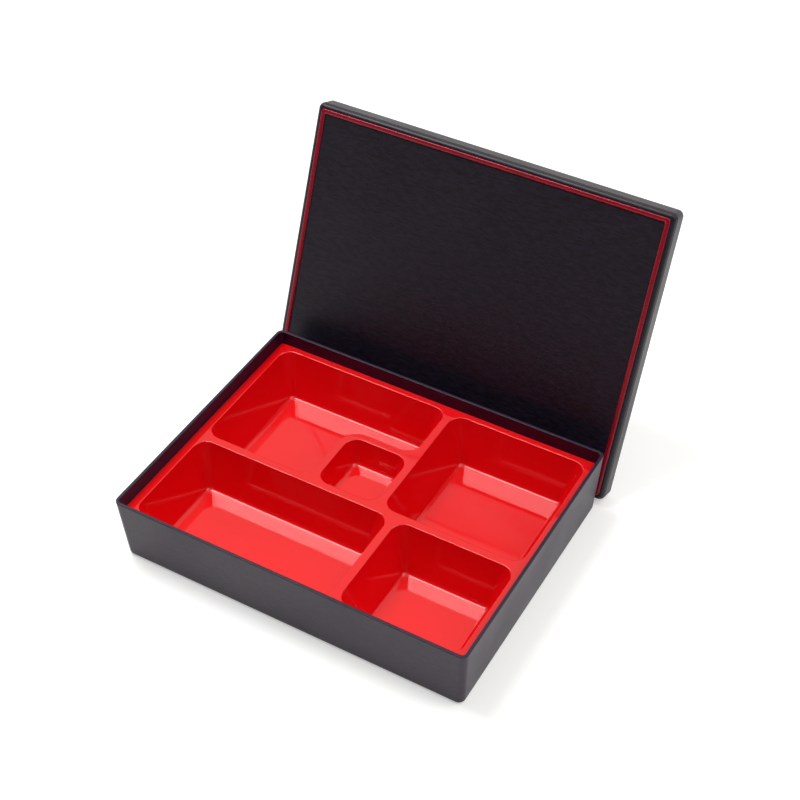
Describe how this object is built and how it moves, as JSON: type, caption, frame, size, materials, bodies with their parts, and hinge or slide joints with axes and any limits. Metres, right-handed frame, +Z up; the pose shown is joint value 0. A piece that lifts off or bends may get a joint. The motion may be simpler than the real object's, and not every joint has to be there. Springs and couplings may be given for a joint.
{
  "type": "bento lunch box",
  "caption": "Rectangular black lunch box with a lift-out glossy red compartment insert and a cap-over lid with a thin red line, shown open with the lid leaning behind it.",
  "frame": {"origin": "centre of the outer box's flat underside, on the table", "axes": "+X to the right along the box's long side, +Y back towards the leaning lid, +Z up out of the box's mouth"},
  "size_m": [0.28, 0.3001, 0.206],
  "materials": {
    "outer_box": "black satin moulded plastic with a fine wood-like grain",
    "compartment_insert": "smooth high-gloss red lacquer",
    "lid_shell": "black satin moulded plastic with a fine wood-like grain",
    "lid_red_line": "dark red printed bead, satin gloss"
  },
  "bodies": {
    "box": {"outer_box": "outer_box"},
    "insert": {"compartment_insert": "compartment_insert"},
    "lid": {"lid_shell": "lid_shell", "lid_red_line": "lid_red_line"}
  },
  "joints": [
    {"name": "insert_lift", "type": "slide", "parent": "box", "child": "insert", "axis": [0, 0, 1], "range_m": [0, 0.07]},
    {"name": "lid_lift", "type": "slide", "parent": "box", "child": "lid", "axis": [0, 0.3746, 0.9272], "range_m": [0, 0.25]}
  ]
}
